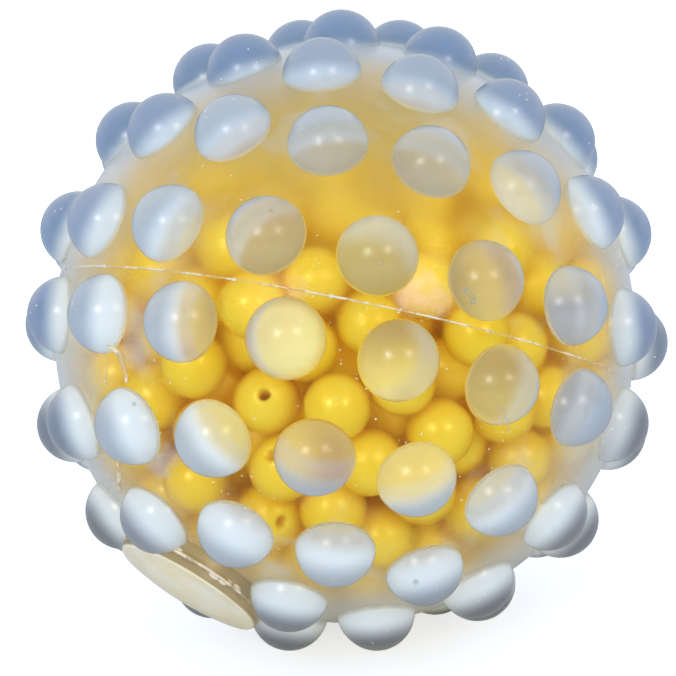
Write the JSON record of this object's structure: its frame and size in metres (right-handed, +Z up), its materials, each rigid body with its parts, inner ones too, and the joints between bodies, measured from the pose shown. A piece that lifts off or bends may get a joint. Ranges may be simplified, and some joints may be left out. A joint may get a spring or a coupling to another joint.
{
  "type": "sensory ball",
  "caption": "Clear baby ball with rows of round nubs, two half shells cemented at the seam, a filler cap and a loose charge of yellow pearl beads that rattle and roll inside.",
  "frame": {"origin": "centre of the ball's round shell", "axes": "+Z up as the ball rests on its lowest nubs, -Y towards the pictured side"},
  "size_m": [0.1019, 0.1013, 0.1008],
  "materials": {
    "clear_shell": "soft clear vinyl, satin on the nubs, with a slight blue haze",
    "cement": "cream solvent cement, thin and uneven",
    "clear_cap": "glossy clear vinyl, slightly yellowed",
    "pearl_bead": "yellow pearl lacquer"
  },
  "bodies": {
    "shell": {"shell_upper": "clear_shell", "shell_lower": "clear_shell", "seam_cement": "cement", "filler_cap": "clear_cap"},
    "charge": {"bead_layer_01": "pearl_bead", "bead_layer_02": "pearl_bead", "bead_layer_03": "pearl_bead", "bead_layer_04": "pearl_bead", "bead_layer_05": "pearl_bead", "bead_layer_06": "pearl_bead", "bead_layer_07": "pearl_bead", "bead_layer_08": "pearl_bead", "bead_layer_09": "pearl_bead", "bead_layer_10": "pearl_bead", "bead_layer_11": "pearl_bead", "bead_layer_12": "pearl_bead", "bead_layer_13": "pearl_bead", "bead_layer_14": "pearl_bead"},
    "hopping_bead_1": {"hopping_bead_1": "pearl_bead"},
    "hopping_bead_2": {"hopping_bead_2": "pearl_bead"},
    "hopping_bead_3": {"hopping_bead_3": "pearl_bead"},
    "hopping_bead_4": {"hopping_bead_4": "pearl_bead"},
    "hopping_bead_5": {"hopping_bead_5": "pearl_bead"},
    "hopping_bead_6": {"hopping_bead_6": "pearl_bead"},
    "rolling_bead_1": {"rolling_bead_1": "pearl_bead"},
    "rolling_bead_2": {"rolling_bead_2": "pearl_bead"},
    "rolling_bead_3": {"rolling_bead_3": "pearl_bead"},
    "rolling_bead_4": {"rolling_bead_4": "pearl_bead"}
  },
  "joints": [
    {"name": "charge_tumble", "type": "hinge", "parent": "shell", "child": "charge", "pos_m": [0, 0, 0], "axis": [1, 0, 0], "continuous": true},
    {"name": "hopping_bead_1_hop", "type": "slide", "parent": "charge", "child": "hopping_bead_1", "axis": [0, 0, 1], "range_m": [0, 0.0165]},
    {"name": "hopping_bead_2_hop", "type": "slide", "parent": "charge", "child": "hopping_bead_2", "axis": [0, 0, 1], "range_m": [0, 0.0161]},
    {"name": "hopping_bead_3_hop", "type": "slide", "parent": "charge", "child": "hopping_bead_3", "axis": [0, 0, 1], "range_m": [0, 0.0154]},
    {"name": "hopping_bead_4_hop", "type": "slide", "parent": "charge", "child": "hopping_bead_4", "axis": [0, 0, 1], "range_m": [0, 0.0148]},
    {"name": "hopping_bead_5_hop", "type": "slide", "parent": "charge", "child": "hopping_bead_5", "axis": [0, 0, 1], "range_m": [0, 0.0142]},
    {"name": "hopping_bead_6_hop", "type": "slide", "parent": "charge", "child": "hopping_bead_6", "axis": [0, 0, 1], "range_m": [0, 0.0119]},
    {"name": "rolling_bead_1_roll", "type": "hinge", "parent": "charge", "child": "rolling_bead_1", "pos_m": [-0.02471, -0.00436, 0.01843], "axis": [1, 0, 0], "continuous": true},
    {"name": "rolling_bead_2_roll", "type": "hinge", "parent": "charge", "child": "rolling_bead_2", "pos_m": [0.014, 0.02189, 0.01807], "axis": [1, 0, 0], "continuous": true},
    {"name": "rolling_bead_3_roll", "type": "hinge", "parent": "charge", "child": "rolling_bead_3", "pos_m": [-0.01918, 0.00723, 0.0222], "axis": [1, 0, 0], "continuous": true},
    {"name": "rolling_bead_4_roll", "type": "hinge", "parent": "charge", "child": "rolling_bead_4", "pos_m": [0.01909, 0.00509, 0.0235], "axis": [1, 0, 0], "continuous": true}
  ]
}
